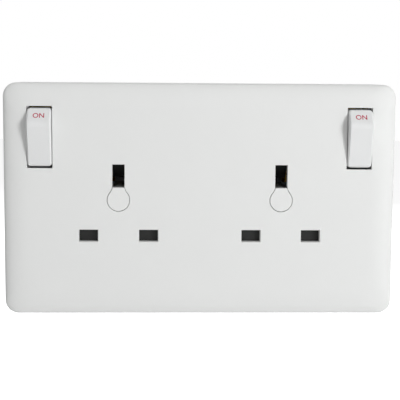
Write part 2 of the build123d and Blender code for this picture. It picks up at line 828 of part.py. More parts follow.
# Live bus: from the live terminal to the fulcrums of both switches
with BuildPart() as live_bus:
    turn_x = rocker_x - rocker_box_half_width - bus_turn_gap
    with BuildSketch(wall_plane(base_top)):
        for side in sides.values():
            with BuildLine():
                Polyline(
                    (0, live_z),
                    (side * (turn_x - abs(live_z - feed_z)), live_z),
                    (side * turn_x, feed_z),
                    (side * rocker_x, feed_z),
                    (side * rocker_x, rocker_z + fulcrum_foot),
                )
            trace(line_width=narrow_strip_width)
    extrude(amount=strip_thickness)
    for side in sides.values():
        with BuildSketch(side_plane(side * rocker_x - fulcrum_width / 2)):
            with BuildLine():
                Polyline(
                    (rocker_z + fulcrum_top_radius, fulcrum_height),
                    (rocker_z + fulcrum_foot, base_top),
                    (rocker_z - fulcrum_foot, base_top),
                    (rocker_z - fulcrum_top_radius, fulcrum_height),
                )
                ThreePointArc(
                    (rocker_z - fulcrum_top_radius, fulcrum_height),
                    (rocker_z, fulcrum_height + fulcrum_top_radius),
                    (rocker_z + fulcrum_top_radius, fulcrum_height),
                )
            make_face()
        extrude(amount=fulcrum_width)

# Earth strip: joins both pairs of earth jaws and both earth terminals
with BuildPart() as earth_strip:
    with BuildSketch(wall_plane(base_top)):
        with Locations((0, earth_z)):
            Rectangle(outlet_spacing + 2 * jaw_outer, strip_width)
    extrude(amount=strip_thickness)
    web_z = earth_rise + earth_pin_height / 2 + pocket_gap
    for side in sides.values():
        with BuildSketch(shelf_plane(web_z + jaw_wall)):
            with Locations((side * outlet_x, 0)):
                jaw_leaf(1)
                jaw_leaf(-1)
        extrude(amount=earth_pin_height)
        with BuildSketch(wall_plane(base_top)):
            with Locations((side * outlet_x, web_z + jaw_wall / 2)):
                Rectangle(2 * jaw_foot + jaw_wall, jaw_wall)
        extrude(amount=jaw_web_height - base_top)

# Neutral strip: joins both pairs of neutral jaws and the neutral terminal
with BuildPart() as neutral_strip:
    neutral_jaws = [side * outlet_x - line_offset for side in sides.values()]
    with BuildSketch(wall_plane(base_top)):
        with Locations(((neutral_jaws[0] + neutral_jaws[1]) / 2, neutral_z)):
            Rectangle(outlet_spacing + jaw_width, strip_width)
        for jaw_x in neutral_jaws:
            with Locations((jaw_x, (neutral_z + line_z - jaw_foot) / 2)):
                Rectangle(jaw_width, line_z - jaw_foot - neutral_z)
    extrude(amount=strip_thickness)
    for jaw_x in neutral_jaws:
        with BuildSketch(side_plane(jaw_x - jaw_width / 2)):
            with Locations((line_z, 0)):
                jaw_leaf(1)
                jaw_leaf(-1)
        extrude(amount=jaw_width + jaw_web_reach)
        with BuildSketch(wall_plane(base_top)):
            with Locations((jaw_x + jaw_width / 2 + jaw_web_reach - jaw_wall / 2, line_z)):
                Rectangle(jaw_wall, 2 * jaw_foot + jaw_wall)
        extrude(amount=jaw_web_height - base_top)


def make_terminal(name):
    """A brass terminal block under its strip, bored for the wire and for its screw."""
    x, z = terminals[name]
    with BuildPart() as terminal:
        with BuildSketch(wall_plane(terminal_back)):
            with Locations((x, z)):
                Rectangle(terminal_width, terminal_height)
        extrude(amount=terminal_length)
        if name.startswith("earth"):
            with BuildSketch(side_plane(x - terminal_width / 2)):
                with Locations((z, wire_hole_height)):
                    Circle(wire_hole_radius)
            extrude(amount=terminal_width, mode=Mode.SUBTRACT)
        else:
            with BuildSketch(shelf_plane(z + terminal_height / 2)):
                with Locations((x, wire_hole_height)):
                    Circle(wire_hole_radius)
            extrude(amount=terminal_height, mode=Mode.SUBTRACT)
        with BuildSketch(wall_plane(terminal_back)):
            with Locations((x, z)):
                RegularPolygon(terminal_screw_radius + terminal_thread_gap, small_screw_sides)
        extrude(amount=wire_hole_height - terminal_back, mode=Mode.SUBTRACT)
    return terminal


def make_terminal_screw(name):
    """The slotted headless screw that clamps a wire, backed off as supplied."""
    x, z = terminals[name]
    with BuildPart() as screw:
        with BuildSketch(wall_plane(terminal_back - terminal_screw_lift)):
            with Locations((x, z)):
                RegularPolygon(terminal_screw_radius, small_screw_sides)
        extrude(amount=terminal_screw_length)
        with BuildSketch(wall_plane(terminal_back - terminal_screw_lift)):
            with Locations((x, z)):
                Rectangle(2 * terminal_screw_radius, screw_slot_width)
        extrude(amount=terminal_slot_depth, mode=Mode.SUBTRACT)
    return screw


def make_assembly_screw(point):
    """A slotted screw that holds the base to a pillar of the cover, its head in the base."""
    seat = base_top
    with BuildPart() as screw:
        with BuildSketch(wall_plane(seat)):
            with Locations(point):
                RegularPolygon(assembly_screw_radius, small_screw_sides)
        extrude(amount=assembly_screw_length)
        with BuildSketch(wall_plane(seat - assembly_head_height)):
            with Locations(point):
                RegularPolygon(assembly_head_radius, small_screw_sides)
        extrude(amount=assembly_head_height)
        with BuildSketch(wall_plane(seat - assembly_head_height)):
            with Locations(point):
                Rectangle(2 * assembly_head_radius, screw_slot_width)
        extrude(amount=assembly_head_height / 2, mode=Mode.SUBTRACT)
    return screw


pieces = {
    "front_plate": front_plate,
    "rear_base": rear_base,
    "live_bus": live_bus,
    "earth_strip": earth_strip,
    "neutral_strip": neutral_strip,
}
for name, side in sides.items():
    pieces[f"screw_cap_{name}"] = make_cap(side)
    pieces[f"fixing_screw_{name}"] = make_fixing_screw(side)
    pieces[f"rocker_{name}"] = make_rocker(side)
    pieces[f"plunger_{name}"] = make_plunger(side)
    stem = stem_plane(side * rocker_x)
    pieces[f"plunger_spring_{name}"] = make_coil(
        tuple(stem.origin + stem.z_dir * stem_bore_start),
        tuple(stem.z_dir),
        plunger_reach - plunger_length - stem_bore_start,
        plunger_coil_radius,
        plunger_wire_radius,
        plunger_coil_turns,
    )
    pieces[f"shutter_{name}"] = make_shutter(side)
    pieces[f"shutter_spring_{name}"] = make_coil(
        (side * outlet_x, -shutter_spring_height, shutter_bar_top),
        (0, 0, 1),
        shutter_spring_room,
        shutter_coil_radius,
        shutter_wire_radius,
        shutter_coil_turns,
    )
    pieces[f"blade_{name}"] = make_blade(side)
    pieces[f"moving_tip_{name}"] = make_moving_tip(side)
    pieces[f"fixed_tip_{name}"] = make_fixed_tip(side)
    pieces[f"live_contact_{name}"] = make_live_contact(side)
for name in terminals:
    pieces[f"terminal_{name}"] = make_terminal(name)
    pieces[f"terminal_screw_{name}"] = make_terminal_screw(name)
for number, point in enumerate(pillar_points, start=1):
    pieces[f"assembly_screw_{number}"] = make_assembly_screw(point)

os.makedirs("parts", exist_ok=True)
for name, piece in pieces.items():
    piece.part.label = name
    export_step(piece.part, f"parts/{name}.step")
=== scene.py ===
"""Twin switched wall socket for a single wall box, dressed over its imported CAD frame.

Every size below is in millimetres unless it says otherwise, and is turned to metres where a
mesh is made. The wall is the plane Y = 0, the room lies on the -Y side, +X is to the right as
seen from the room and +Z is up. A height is a distance from the wall towards the room, so
height = -Y.
"""

import json
import logging
import math
from dataclasses import dataclass, field
from enum import Enum
from typing import Callable, Iterable, Sequence

import bmesh
import bpy
from mathutils import Matrix, Vector


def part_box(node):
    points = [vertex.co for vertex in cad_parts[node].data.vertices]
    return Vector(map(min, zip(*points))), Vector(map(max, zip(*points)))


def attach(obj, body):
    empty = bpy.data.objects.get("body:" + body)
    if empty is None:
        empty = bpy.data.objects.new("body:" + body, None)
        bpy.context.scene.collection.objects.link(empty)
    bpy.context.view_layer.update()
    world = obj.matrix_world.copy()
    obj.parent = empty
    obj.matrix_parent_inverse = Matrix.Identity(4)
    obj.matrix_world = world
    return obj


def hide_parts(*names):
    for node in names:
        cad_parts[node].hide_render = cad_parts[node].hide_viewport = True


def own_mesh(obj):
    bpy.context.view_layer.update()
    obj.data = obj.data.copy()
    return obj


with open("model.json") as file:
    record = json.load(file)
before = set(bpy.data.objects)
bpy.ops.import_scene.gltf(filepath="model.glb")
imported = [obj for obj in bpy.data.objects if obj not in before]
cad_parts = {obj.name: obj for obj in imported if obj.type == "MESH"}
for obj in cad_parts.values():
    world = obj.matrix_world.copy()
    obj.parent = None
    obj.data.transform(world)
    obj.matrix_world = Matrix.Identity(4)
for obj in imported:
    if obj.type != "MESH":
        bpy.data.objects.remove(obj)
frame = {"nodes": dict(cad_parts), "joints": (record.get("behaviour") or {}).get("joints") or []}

log = logging.getLogger("socket")

MM = 0.001
SIDES = ("left", "right")
TERMINALS = ("live", "neutral", "earth_left", "earth_right")
CASE_SCREWS = range(1, 5)
# How far the cover's face and the housing's back are from the wall
FACE_HEIGHT = -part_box("front_plate")[0].y / MM
HOUSING_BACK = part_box("rear_base")[1].y / MM
# Vertices this close are one: of a CAD node, and of letters in their own units
CAD_MERGE = 0.002
LETTER_MERGE = 0.0001
# What most of a noise's values lie between
NOISE_RANGE = {"From Min": 0.3, "From Max": 0.7}


# Workshop helpers


def linear(hex_colour: str) -> tuple[float, float, float, float]:
    """Turn an sRGB hex colour into a linear one.

    Args:
        hex_colour: Six hex digits, with or without a leading hash.

    Returns:
        Linear red, green, blue and an alpha of 1.
    """
    digits = hex_colour.lstrip("#")
    parts = [int(digits[i : i + 2], 16) / 255 for i in (0, 2, 4)]
    curve = [c / 12.92 if c <= 0.04045 else ((c + 0.055) / 1.055) ** 2.4 for c in parts]
    return (*curve, 1.0)


def add_node(
    tree: bpy.types.NodeTree, kind: str, inputs: dict | None = None, **settings: object
) -> bpy.types.Node:
    """Add a node with its settings, values and links.

    Args:
        tree: The material's or world's node tree.
        kind: The node's type name.
        inputs: Socket name or number to a value, or to the output socket that feeds it.
        **settings: Attributes of the node itself.

    Returns:
        The new node.
    """
    node = tree.nodes.new(kind)
    for name, value in settings.items():
        setattr(node, name, value)
    for socket, value in (inputs or {}).items():
        if isinstance(value, bpy.types.NodeSocket):
            tree.links.new(value, node.inputs[socket])
        else:
            node.inputs[socket].default_value = value
    return node


def pattern_scale(spacing: float) -> float:
    """The scale that gives a noise this spacing in millimetres on Object coordinates."""
    return 1 / (spacing * MM)


def only(piece: bpy.types.Object) -> bpy.types.Object:
    """Select this object and nothing else, and make it the active one."""
    bpy.ops.object.select_all(action="DESELECT")
    piece.select_set(True)
    bpy.context.view_layer.objects.active = piece
    return piece


def in_edit_mode(piece: bpy.types.Object, *steps: Callable[[], object]) -> None:
    """Run operators on the whole mesh of a piece in edit mode.

    Args:
        piece: The mesh object to work on.
        *steps: Calls without arguments, run in order with everything selected.
    """
    only(piece)
    bpy.ops.object.mode_set(mode="EDIT")
    for step in steps:
        bpy.ops.mesh.select_all(action="SELECT")
        step()
    bpy.ops.object.mode_set(mode="OBJECT")


def apply_modifier(piece: bpy.types.Object, kind: str, **settings: object) -> None:
    """Add a modifier with these settings and apply it."""
    only(piece)
    modifier = piece.modifiers.new(kind.lower(), kind)
    for name, value in settings.items():
        setattr(modifier, name, value)
    bpy.ops.object.modifier_apply(modifier=modifier.name)


def middle_of(node: str) -> Vector:
    """The middle of a CAD node's box, in millimetres."""
    low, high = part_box(node)
    return (low + high) / 2 / MM


def joint_place(name: str) -> Vector:
    """Where a joint of the CAD frame is, in millimetres."""
    joint = next(joint for joint in frame["joints"] if joint["name"] == name)
    return Vector(joint["pos_m"]) / MM


def soften(piece: bpy.types.Object, width: float, crease: float = 28) -> None:
    """Round every crease of a merged mesh a little and shade it smooth.

    Args:
        piece: The mesh object to round.
        width: Width of the rounding in millimetres.
        crease: Angle in degrees above which an edge counts as a crease.
    """
    apply_modifier(
        piece,
        "BEVEL",
        width=width * MM,
        segments=3,
        limit_method="ANGLE",
        angle_limit=math.radians(crease),
        use_clamp_overlap=True,
    )
    shade(piece)


def shade(piece: bpy.types.Object, crease: float = 32) -> None:
    """Shade a piece smooth below this angle and keep its flats flat."""
    only(piece)
    bpy.ops.object.shade_smooth_by_angle(angle=math.radians(crease))
    apply_modifier(piece, "WEIGHTED_NORMAL", keep_sharp=True, weight=60)


def merged_copy(node: str, name: str, flats: bool = True) -> bpy.types.Object:
    """Copy a CAD node with its loose triangles merged into one skin.

    Args:
        node: Name of the CAD node.
        name: Name of the new piece.
        flats: Whether triangles in one plane become one face, for bevels to run clean.

    Returns:
        The new object, with its own mesh.
    """
    source = frame["nodes"][node]
    piece = bpy.data.objects.new(name, source.data.copy())
    bpy.context.scene.collection.objects.link(piece)
    if piece.data.has_custom_normals:
        only(piece)
        bpy.ops.mesh.customdata_custom_splitnormals_clear()
    in_edit_mode(piece, lambda: bpy.ops.mesh.remove_doubles(threshold=CAD_MERGE * MM))
    if flats:
        in_edit_mode(
            piece, lambda: bpy.ops.mesh.dissolve_limited(angle_limit=math.radians(0.5))
        )
    return piece


def copies(
    pattern: bpy.types.Object, shifts: dict[str, Vector]
) -> list[bpy.types.Object]:
    """Copy a modelled piece to each of its places, every copy with its own mesh.

    Args:
        pattern: The piece as modelled, which isn't needed afterwards and is removed.
        shifts: Name of each copy to how far it is moved, in millimetres.

    Returns:
        The copies, in the order of their names.
    """
    made = []
    for name, shift in shifts.items():
        mesh = pattern.data.copy()
        mesh.name = name
        mesh.transform(Matrix.Translation(shift * MM))
        piece = bpy.data.objects.new(name, mesh)
        bpy.context.scene.collection.objects.link(piece)
        made.append(piece)
    bpy.data.objects.remove(pattern)
    return made


def dress(piece: bpy.types.Object, finish: "Finish", body: str, *nodes: str) -> None:
    """Give a piece its finish and its body, and hide the CAD nodes it stands for.

    Args:
        piece: The finished mesh object.
        finish: What it is made of.
        body: The CAD body it moves with.
        *nodes: The CAD nodes that it replaces.
    """
    piece.data.materials.clear()
    piece.data.materials.append(finish.material())
    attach(piece, body)
    if nodes:
        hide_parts(*nodes)
    log.info("%s: %d faces in %s", piece.name, len(piece.data.polygons), finish.name)


def paint_node(node: str, finish: "Finish") -> None:
    """Give a CAD node that stays as it is this finish."""
    shown = frame["nodes"][node]
    shown.material_slots[0].material = finish.material()
    log.info("%s: CAD node in %s", node, finish.name)


def lettering(
    name: str, words: str, thickness: float, weight: float = 0.0
) -> bpy.types.Object:
    """Make flat raised letters as a mesh, centred on the origin in X and Y.

    Args:
        name: Name of the piece.
        words: What it says.
        thickness: Height of the letters in millimetres once their Z is scaled to metres.
        weight: How much fatter, or thinner if negative, the strokes are.

    Returns:
        The mesh object, with its Z still in millimetres.
    """
    bpy.ops.object.select_all(action="DESELECT")
    bpy.ops.object.text_add(location=(0, 0, 0))
    text = bpy.context.object
    text.name = name
    text.data.body = words
    text.data.align_x = "CENTER"
    text.data.align_y = "CENTER"
    text.data.offset = weight
    text.data.extrude = thickness / 2
    bpy.ops.object.convert(target="MESH")
    piece = bpy.context.object
    corners = [Vector(corner) for corner in piece.bound_box]
    middle = sum(corners, Vector()) / len(corners)
    piece.data.transform(Matrix.Translation(-middle))
    in_edit_mode(piece, lambda: bpy.ops.mesh.remove_doubles(threshold=LETTER_MERGE))
    bpy.context.view_layer.update()
    return piece


def turned(
    name: str, profile: Sequence[tuple[float, float]], sides: int
) -> bpy.types.Object:
    """Turn a solid from a disc, pulled along its axis and sized at each step.

    Args:
        name: Name of the piece.
        profile: Radius and level along Z of each step in millimetres, from end to end.
        sides: How many flats stand for the round.

    Returns:
        The closed solid about the Z axis.
    """
    (radius, level), *steps = profile
    bpy.ops.object.select_all(action="DESELECT")
    bpy.ops.mesh.primitive_circle_add(
        vertices=sides, radius=radius * MM, fill_type="NGON", location=(0, 0, level * MM)
    )
    piece = bpy.context.object
    piece.name = name
    bpy.ops.object.transform_apply(location=True, rotation=True, scale=True)
    bpy.ops.object.mode_set(mode="EDIT")
    bpy.ops.mesh.select_mode(type="FACE")
    bpy.ops.mesh.select_all(action="SELECT")
    for new_radius, new_level in steps:
        bpy.ops.mesh.extrude_region_move(
            TRANSFORM_OT_translate={"value": (0, 0, (new_level - level) * MM)}
        )
        grow = new_radius / radius
        bpy.ops.transform.resize(
            value=(grow, grow, 1), center_override=(0, 0, new_level * MM)
        )
        radius, level = new_radius, new_level
    bpy.ops.mesh.select_all(action="SELECT")
    bpy.ops.mesh.normals_make_consistent(inside=False)
    bpy.ops.object.mode_set(mode="OBJECT")
    return piece


def close_ends(piece: bpy.types.Object) -> None:
    """Cap the open ends of a wound section and turn its faces outwards."""
    in_edit_mode(
        piece,
        lambda: bpy.ops.mesh.fill_holes(sides=0),
        lambda: bpy.ops.mesh.normals_make_consistent(inside=False),
    )


# Finishes


@dataclass(frozen=True)
class Finish:
    """A surface as it is made: its colour, gloss and the marks of its making."""

    name: str
    slot: str
    colour: str
    roughness: float

    def material(self) -> bpy.types.Material:
        """Return this finish's material, made the first time it is asked for."""
        found = bpy.data.materials.get(self.name)
        if found is None:
            found = bpy.data.materials.new(self.name)
            found.use_nodes = True
            found.node_tree.nodes.clear()
            self.build(found.node_tree)
        return found

    def build(self, tree: bpy.types.NodeTree) -> None:
        """Fill the material's node tree."""
        raise NotImplementedError

    def tinted(
        self, tree: bpy.types.NodeTree, factor: bpy.types.NodeSocket, shade_of: float
    ) -> bpy.types.NodeSocket:
        """Vary the finish's colour with a pattern.

        Args:
            tree: The material's node tree.
            factor: The pattern, from 0 to 1.
            shade_of: How bright the darkest part is, as a share of the colour.

        Returns:
            The colour socket.
        """
        full = linear(self.colour)
        dark = (*[c * shade_of for c in full[:3]], 1.0)
        mix = add_node(tree, "ShaderNodeMix", data_type="RGBA")
        tree.links.new(factor, mix.inputs["Factor"])
        mix.inputs["A"].default_value = dark
        mix.inputs["B"].default_value = full
        return mix.outputs["Result"]


@dataclass(frozen=True)
class MouldedPlastic(Finish):
    """Thermoset or thermoplastic from a steel mould: gloss where the mould was polished.

    The mould leaves a faint waviness that breaks up long reflections, and a fine grain
    where it was spark-eroded rather than polished.
    """

    grain: float = 0.35
    grain_depth: float = 0.004
    waviness: float = 9.0
    wave_depth: float = 0.012
    mottle: float = 0.985
    gloss_spread: float = 0.03
    bump: float = 0.6
    ior: float = 1.5

    def build(self, tree: bpy.types.NodeTree) -> None:
        """Two noises drive the bump, and the slower one the colour and roughness too."""
        place = add_node(tree, "ShaderNodeTexCoord").outputs["Object"]
        slow = add_node(
            tree,
            "ShaderNodeTexNoise",
            {"Vector": place, "Scale": pattern_scale(self.waviness), "Detail": 2.0},
        ).outputs["Fac"]
        fine = add_node(
            tree,
            "ShaderNodeTexNoise",
            {"Vector": place, "Scale": pattern_scale(self.grain), "Detail": 3.0},
        ).outputs["Fac"]
        gloss = add_node(
            tree,
            "ShaderNodeMapRange",
            {
                "Value": slow,
                "To Min": self.roughness - self.gloss_spread,
                "To Max": self.roughness + self.gloss_spread,
                **NOISE_RANGE,
            },
        ).outputs["Result"]
        wave = add_node(
            tree,
            "ShaderNodeBump",
            {"Height": slow, "Strength": self.bump, "Distance": self.wave_depth * MM},
        )
        grain = add_node(
            tree,
            "ShaderNodeBump",
            {
                "Height": fine,
                "Strength": self.bump,
                "Distance": self.grain_depth * MM,
                "Normal": wave.outputs["Normal"],
            },
        )
        shader = add_node(
            tree,
            "ShaderNodeBsdfPrincipled",
            {
                "Base Color": self.tinted(tree, slow, self.mottle),
                "Roughness": gloss,
                "IOR": self.ior,
                "Normal": grain.outputs["Normal"],
            },
        )
        add_node(tree, "ShaderNodeOutputMaterial", {"Surface": shader.outputs["BSDF"]})


@dataclass(frozen=True)
class WorkedMetal(Finish):
    """Bare or plated metal with lines along the way it was rolled, drawn or turned."""

    lines: float = 0.12
    stretch: tuple[float, float, float] = (0.08, 1.0, 1.0)
    line_depth: float = 0.004
    stain: float = 3.0
    stain_shade: float = 0.86
    polish: float = 0.06
    dulling: float = 0.08
    bump: float = 0.5

    def build(self, tree: bpy.types.NodeTree) -> None:
        """A stretched noise gives the lines and a slow one the stains."""
        place = add_node(tree, "ShaderNodeTexCoord").outputs["Object"]
        along = add_node(
            tree, "ShaderNodeMapping", {"Vector": place, "Scale": self.stretch}
        ).outputs["Vector"]
        lines = add_node(
            tree,
            "ShaderNodeTexNoise",
            {"Vector": along, "Scale": pattern_scale(self.lines), "Detail": 2.0},
        ).outputs["Fac"]
        stains = add_node(
            tree,
            "ShaderNodeTexNoise",
            {"Vector": place, "Scale": pattern_scale(self.stain), "Detail": 4.0},
        ).outputs["Fac"]
        gloss = add_node(
            tree,
            "ShaderNodeMapRange",
            {
                "Value": stains,
                "To Min": self.roughness - self.polish,
                "To Max": self.roughness + self.dulling,
                **NOISE_RANGE,
            },
        ).outputs["Result"]
        bump = add_node(
            tree,
            "ShaderNodeBump",
            {"Height": lines, "Strength": self.bump, "Distance": self.line_depth * MM},
        )
        shader = add_node(
            tree,
            "ShaderNodeBsdfPrincipled",
            {
                "Base Color": self.tinted(tree, stains, self.stain_shade),
                "Roughness": gloss,
                "Metallic": 1.0,
                "Normal": bump.outputs["Normal"],
            },
        )
        add_node(tree, "ShaderNodeOutputMaterial", {"Surface": shader.outputs["BSDF"]})


@dataclass(frozen=True)
class PrintedInk(Finish):
    """Pad-printed ink: a thin film that covers a little unevenly."""

    cover: float = 0.25
    thin_shade: float = 0.9

    def build(self, tree: bpy.types.NodeTree) -> None:
        """A fine noise varies how thickly the ink covers."""
        place = add_node(tree, "ShaderNodeTexCoord").outputs["Object"]
        film = add_node(
            tree,
            "ShaderNodeTexNoise",
            {"Vector": place, "Scale": pattern_scale(self.cover), "Detail": 2.0},
        ).outputs["Fac"]
        shader = add_node(
            tree,
            "ShaderNodeBsdfPrincipled",
            {
                "Base Color": self.tinted(tree, film, self.thin_shade),
                "Roughness": self.roughness,
            },
        )
        add_node(tree, "ShaderNodeOutputMaterial", {"Surface": shader.outputs["BSDF"]})


# Urea formaldehyde, compression moulded: hard, dense and glossy, a cool near white
UREA_COVER = MouldedPlastic("urea_gloss", "plate_urea", "#DEDFDE", 0.46)
UREA_CAP = MouldedPlastic("urea_gloss_cap", "cap_urea", "#DEDFDE", 0.46)
# Polycarbonate, injection moulded: a shade brighter and glossier than the cover
ROCKER_PLASTIC = MouldedPlastic(
    "polycarbonate_gloss", "rocker_plastic", "#DEDFDF", 0.4, wave_depth=0.006, ior=1.58
)
# Moulded base, from a spark-eroded mould: an even fine grain and no gloss
BASE_PLASTIC = MouldedPlastic(
    "moulded_base_matt", "base_plastic", "#C9CACB", 0.55, grain=0.4, grain_depth=0.02
)
# Black shutter moulding: it must read as dark depth behind the slots
SHUTTER_PLASTIC = MouldedPlastic(
    "shutter_black", "shutter_plastic", "#101110", 0.55, grain=0.4, grain_depth=0.015
)
# Natural nylon: waxy and a little yellow
PLUNGER_NYLON = MouldedPlastic(
    "nylon_natural", "plunger_nylon", "#DED9CA", 0.42, mottle=0.95, ior=1.53
)
# Hard-drawn carbon steel wire, oiled and grey
SPRING_STEEL = WorkedMetal("spring_wire", "spring_steel", "#8D9096", 0.32)
# Rolled brass strip, stamped and folded, lightly tarnished from handling
BRASS = WorkedMetal("brass_strip", "brass", "#CDA559", 0.3, stain=4.0, stain_shade=0.8)
# Silver alloy contact tips, headed from wire
SILVER = WorkedMetal("contact_silver", "silver", "#D9D8D3", 0.22, stretch=(1, 1, 1))
# Zinc-plated steel: a bluish bright plate with faint clouding
ZINC_STEEL = WorkedMetal("zinc_plate", "zinc_steel", "#BFC4CB", 0.3, stretch=(1, 0.2, 1))
# Red pad-print on the rockers
RED_INK = PrintedInk("red_pad_print", "rocker_plastic", "#B0143C", 0.45)


# Cover


@dataclass
class Ring:
    """One level of the cover's outside: a rectangle with rounded corners."""

    half_width: float
    half_height: float
    radius: float
    height: float

    def moved_from(self, point: Vector, old: "Ring") -> Vector:
        """Where a point of another ring's outline lies on this one.

        Args:
            point: A point of the old ring, in metres.
            old: The ring it lies on.

        Returns:
            The same point of this ring's outline, in metres.
        """
        out = []
        for value, half_old, half_new in (
            (point.x, old.half_width, self.half_width),
            (point.z, old.half_height, self.half_height),
        ):
            share = (abs(value) / MM - half_old + old.radius) / old.radius
            out.append(math.copysign(half_new - self.radius + share * self.radius, value))
        return Vector((out[0], -self.height, out[1])) * MM


@dataclass
class Cover:
    """The moulded cover: the CAD shell with a true elliptic crown round its face."""

    # The outline's corners at the wall and where the crown meets the face
    corner_radius: float = 5.0
    face_corner_radius: float = 8.0
    corner_steps: int = 11
    # The crown is a quarter of an ellipse
    crown_width: float = 9.0
    crown_drop: float = 2.7
    crown_steps: int = 14
    # The CAD cover's wall, the height of its ceiling and its right rocker opening
    skirt_wall: float = 2.2
    high_inside: float = 21.0
    opening_sides_x: tuple[float, float] = (54.3, 63.7)
    opening_ends_z: tuple[float, float] = (11.7, 34.5)
    # The slots lie within this in X and Z, and every face of the crown lies outside it
    slots_within: tuple[float, float] = (55.0, 25.0)
    slack: float = 0.02
    same_level: float = 0.001
    # The normal's Y past which a face faces the wall, and below which it faces the room
    back_facing: float = 0.5
    room_facing: float = -0.02
    # How near vertices are merged, and open edges are split at each other's vertices
    cut_threshold: float = 0.001
    merge_reach: float = 0.03
    stitch_reach: float = 0.12
    stitch_rounds: int = 6
    split_within: tuple[float, float] = (0.01, 0.99)
    low: Vector = field(default_factory=lambda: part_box("front_plate")[0] / MM)
    high: Vector = field(default_factory=lambda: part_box("front_plate")[1] / MM)

    def ring(self, inset: float, height: float) -> Ring:
        """The cover's outline this far in from its edge and at this height."""
        growth = (self.face_corner_radius - self.corner_radius) * inset / self.crown_width
        return Ring(
            self.high.x - inset, self.high.z - inset, self.corner_radius + growth, height
        )

    def rings(self) -> list[Ring]:
        """The outline at the wall, at the foot of the crown and at each step up it."""
        face = -self.low.y
        levels = [self.ring(0, 0)]
        for step in range(self.crown_steps + 1):
            turn = math.pi / 2 * step / self.crown_steps
            levels.append(
                self.ring(
                    self.crown_width * (1 - math.cos(turn)),
                    face - self.crown_drop * (1 - math.sin(turn)),
                )
            )
        return levels

    def inset_of(self, point: Vector) -> float:
        """How far in from the cover's outline a point lies, in millimetres."""
        inner_x = self.high.x - self.corner_radius
        inner_z = self.high.z - self.corner_radius
        over_x = abs(point.x) / MM - inner_x
        over_z = abs(point.z) / MM - inner_z
        if over_x > 0 and over_z > 0:
            return self.corner_radius - math.hypot(over_x, over_z)
        return self.corner_radius - max(over_x, over_z)

    def outside(self) -> bpy.types.Object:
        """Model the sides and the crown from a rounded rectangle, pulled up ring by ring."""
        bpy.ops.object.select_all(action="DESELECT")
        bpy.ops.mesh.primitive_plane_add(size=1, rotation=(math.pi / 2, 0, 0))
        piece = bpy.context.object
        bpy.ops.object.transform_apply(location=True, rotation=True, scale=True)
        levels = self.rings()
        first = levels[0]
        in_edit_mode(
            piece,
            lambda: bpy.ops.transform.resize(
                value=(2 * first.half_width * MM, 1, 2 * first.half_height * MM)
            ),
            lambda: bpy.ops.mesh.bevel(
                offset=first.radius * MM,
                segments=self.corner_steps,
                profile=0.5,
                affect="VERTICES",
                clamp_overlap=False,
            ),
        )
        bpy.ops.object.mode_set(mode="EDIT")
        bpy.ops.mesh.select_mode(type="FACE")
        bpy.ops.mesh.select_all(action="SELECT")
        for old, new in zip(levels, levels[1:]):
            bpy.ops.mesh.extrude_region_move(
                TRANSFORM_OT_translate={"value": (0, -(new.height - old.height) * MM, 0)}
            )
            mesh = bmesh.from_edit_mesh(piece.data)
            for vertex in mesh.verts:
                if vertex.select:
                    vertex.co = new.moved_from(vertex.co, old)
            bmesh.update_edit_mesh(piece.data)
        mesh = bmesh.from_edit_mesh(piece.data)
        # The side faces have four corners each, and only the two ends have more
        caps = [face for face in mesh.faces if len(face.verts) > 4]
        bmesh.ops.delete(mesh, geom=caps, context="FACES_ONLY")
        bmesh.update_edit_mesh(piece.data)
        bpy.ops.object.mode_set(mode="OBJECT")
        self.face_outwards(piece)
        return piece

    def face_outwards(self, piece: bpy.types.Object) -> None:
        """Turn the open skin's faces away from the cover's middle."""
        in_edit_mode(piece, lambda: bpy.ops.mesh.normals_make_consistent(inside=False))
        side = max(piece.data.polygons, key=lambda face: face.center.x)
        if side.normal.x < 0:
            in_edit_mode(piece, bpy.ops.mesh.flip_normals)

    def is_outer_skin(self, face: bmesh.types.BMFace) -> bool:
        """True for a face of the CAD cover that the new outside stands for."""
        insets = [self.inset_of(vertex.co) for vertex in face.verts]
        heights = [-vertex.co.y / MM for vertex in face.verts]
        if face.normal.y > self.back_facing:
            return False
        if max(insets) < self.skirt_wall - self.slack:
            return True
        within_x, within_z = self.slots_within
        return (
            face.normal.y < self.room_facing
            and min(heights) > self.high_inside + self.slack
            and min(heights) < -self.low.y - self.same_level
            and all(
                abs(vertex.co.x) > within_x * MM or abs(vertex.co.z) > within_z * MM
                for vertex in face.verts
            )
        )

    def bisect(self, place: Vector, normal: Vector) -> None:
        """Cut the selected mesh along a plane, with the place in millimetres."""
        bpy.ops.mesh.bisect(
            plane_co=place * MM, plane_no=normal, threshold=self.cut_threshold * MM
        )

    def clear_rocker_openings(self, piece: bpy.types.Object) -> None:
        """Trim the new skin where the rocker openings run into the crown."""
        across, up = Vector((1, 0, 0)), Vector((0, 0, 1))
        sides = [side * x for x in self.opening_sides_x for side in (1, -1)]
        planes = [(x * across, across) for x in sides]
        planes += [(z * up, up) for z in self.opening_ends_z]
        for place, normal in planes:
            in_edit_mode(piece, lambda: self.bisect(place, normal))
        mesh = bmesh.new()
        mesh.from_mesh(piece.data)
        near, far = self.opening_sides_x
        bottom, top = self.opening_ends_z
        inside = [
            face
            for face in mesh.faces
            if near * MM < abs(face.calc_center_median().x) < far * MM
            and bottom * MM < face.calc_center_median().z < top * MM
            and face.calc_center_median().y < -self.high_inside * MM
        ]
        bmesh.ops.delete(mesh, geom=inside, context="FACES")
        mesh.to_mesh(piece.data)
        mesh.free()

